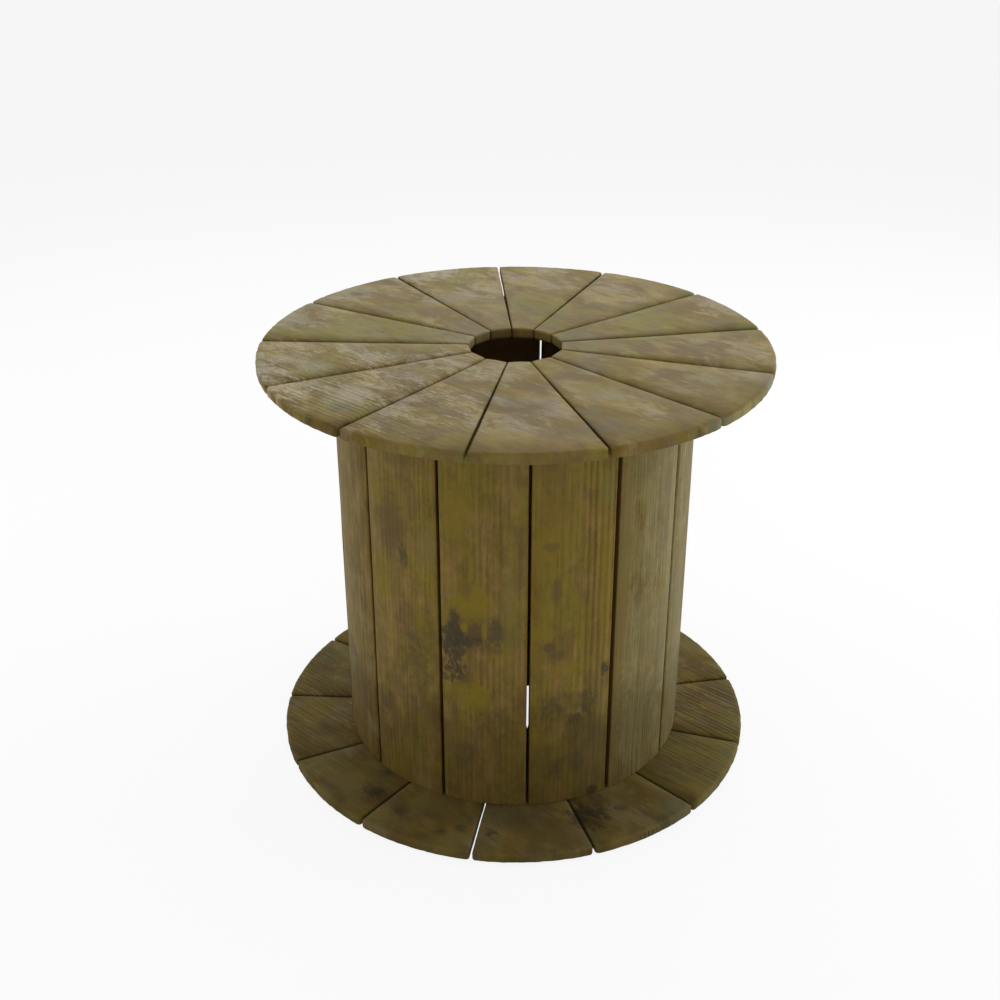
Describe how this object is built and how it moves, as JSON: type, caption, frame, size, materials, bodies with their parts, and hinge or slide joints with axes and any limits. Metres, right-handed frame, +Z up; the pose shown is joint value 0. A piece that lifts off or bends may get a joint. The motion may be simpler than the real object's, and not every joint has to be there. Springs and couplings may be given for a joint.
{
  "type": "wooden cable drum",
  "caption": "Wooden cable drum on its end: two round flanges of wedge boards on a barrel of bowed upright staves, with a spindle hole through both flanges.",
  "frame": {"origin": "on the drum's axis, in the plane of the lower flange's underside", "axes": "+Z up along the drum's axis, from the lower flange to the upper; +X to the right of the side that the lower flange's foremost joint faces"},
  "size_m": [0.8999, 0.9, 0.778],
  "materials": {
    "top_board_wood": "weathered grey-olive softwood, matte",
    "stave_wood": "weathered ochre-brown softwood with dark mould, matte",
    "bottom_board_wood": "weathered dark olive-brown softwood, matte"
  },
  "bodies": {
    "root": {"top_board_01": "top_board_wood", "top_board_02": "top_board_wood", "top_board_03": "top_board_wood", "top_board_04": "top_board_wood", "top_board_05": "top_board_wood", "top_board_06": "top_board_wood", "top_board_07": "top_board_wood", "top_board_08": "top_board_wood", "top_board_09": "top_board_wood", "top_board_10": "top_board_wood", "top_board_11": "top_board_wood", "top_board_12": "top_board_wood", "top_board_13": "top_board_wood", "bottom_board_01": "bottom_board_wood", "bottom_board_02": "bottom_board_wood", "bottom_board_03": "bottom_board_wood", "bottom_board_04": "bottom_board_wood", "bottom_board_05": "bottom_board_wood", "bottom_board_06": "bottom_board_wood", "bottom_board_07": "bottom_board_wood", "bottom_board_08": "bottom_board_wood", "bottom_board_09": "bottom_board_wood", "bottom_board_10": "bottom_board_wood", "bottom_board_11": "bottom_board_wood", "bottom_board_12": "bottom_board_wood", "bottom_board_13": "bottom_board_wood", "stave_01": "stave_wood", "stave_02": "stave_wood", "stave_03": "stave_wood", "stave_04": "stave_wood", "stave_05": "stave_wood", "stave_06": "stave_wood", "stave_07": "stave_wood", "stave_08": "stave_wood", "stave_09": "stave_wood", "stave_10": "stave_wood", "stave_11": "stave_wood", "stave_12": "stave_wood", "stave_13": "stave_wood"}
  },
  "joints": []
}
